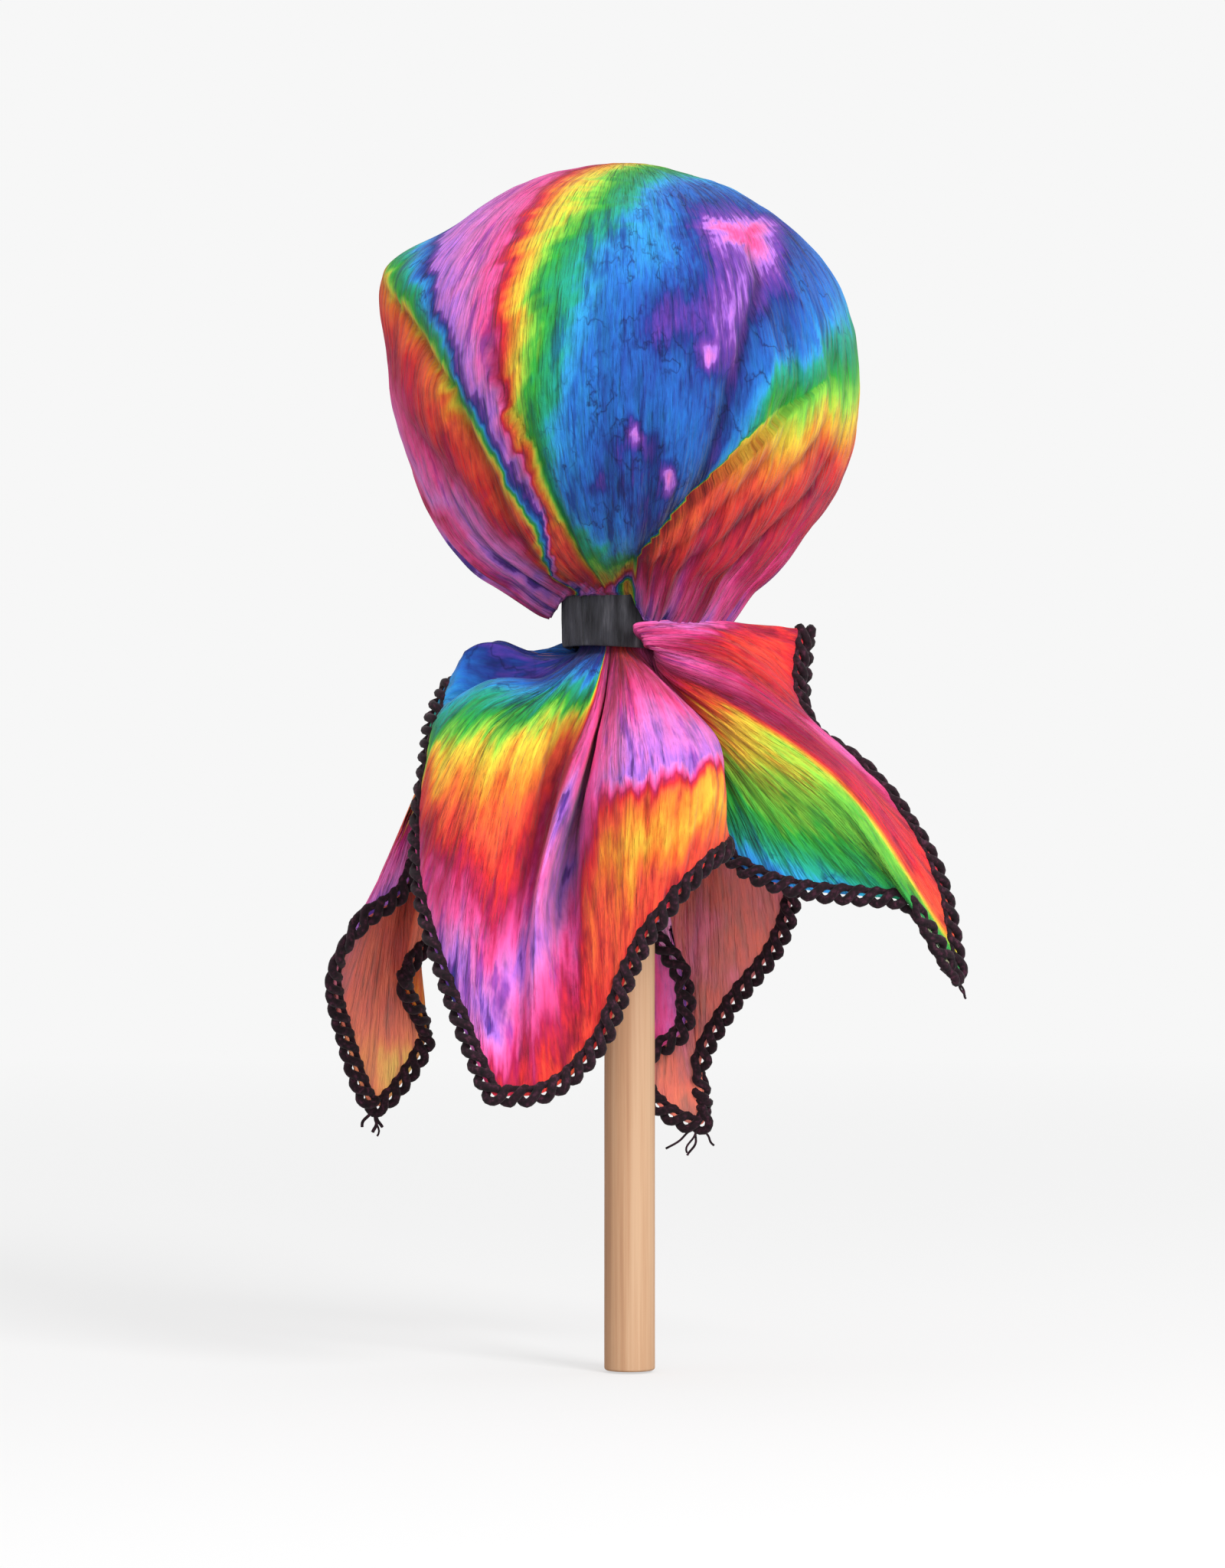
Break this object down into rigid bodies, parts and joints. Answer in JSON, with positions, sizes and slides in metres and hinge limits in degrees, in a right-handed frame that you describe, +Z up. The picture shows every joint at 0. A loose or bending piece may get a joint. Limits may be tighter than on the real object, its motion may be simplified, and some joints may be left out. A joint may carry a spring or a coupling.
{
  "type": "soft-headed hand wand",
  "caption": "Soft foam ball head on a wooden dowel under a gathered tie-dyed cloth with hanging corner tails.",
  "frame": {"origin": "centre of the dowel's lower end face", "axes": "+Z up the dowel to the ball head, -Y to the front of the wand, +X to the front's right"},
  "size_m": [0.158, 0.1194, 0.3023],
  "materials": {
    "dowel_wood": "sanded, unvarnished",
    "core_foam": "fine-celled soft foam",
    "batting": "fluffy polyester fill",
    "tie_dye_cloth": "matte cotton crepe, tie-dyed in rainbow rings",
    "edging_thread": "matte overlock thread",
    "neck_elastic": "matte woven elastic"
  },
  "bodies": {
    "wand": {"handle_dowel": "dowel_wood", "head_core": "core_foam", "batting_wrap": "batting", "head_cover": "tie_dye_cloth", "neck_band": "neck_elastic", "skirt_yoke": "tie_dye_cloth", "edging_left": "edging_thread", "edging_front": "edging_thread", "edging_right": "edging_thread", "edging_back": "edging_thread"},
    "front_tail": {"tail_front": "tie_dye_cloth", "tail_front_edging": "edging_thread"},
    "right_tail": {"tail_right": "tie_dye_cloth", "tail_right_edging": "edging_thread"},
    "back_tail": {"tail_back": "tie_dye_cloth", "tail_back_edging": "edging_thread"},
    "left_tail": {"tail_left": "tie_dye_cloth", "tail_left_edging": "edging_thread"}
  },
  "joints": [
    {"name": "front_tail_swing", "type": "hinge", "parent": "wand", "child": "front_tail", "pos_m": [-0.01778, -0.0435, 0.12564], "axis": [-0.9991, 0.0415, 0.0091], "range_deg": [-12, 75], "stiffness_Nm_per_rad": 0.0003},
    {"name": "right_tail_swing", "type": "hinge", "parent": "wand", "child": "right_tail", "pos_m": [0.05413, -0.02441, 0.14724], "axis": [-0.4637, -0.5971, -0.6546], "range_deg": [-12, 60], "stiffness_Nm_per_rad": 0.0003},
    {"name": "back_tail_swing", "type": "hinge", "parent": "wand", "child": "back_tail", "pos_m": [0.02009, 0.03626, 0.10047], "axis": [0.9354, 0.2439, 0.2562], "range_deg": [-12, 75], "stiffness_Nm_per_rad": 0.0003},
    {"name": "left_tail_swing", "type": "hinge", "parent": "wand", "child": "left_tail", "pos_m": [-0.05725, 0.02017, 0.11903], "axis": [0.3091, 0.6029, -0.7355], "range_deg": [-12, 65], "stiffness_Nm_per_rad": 0.0003}
  ]
}
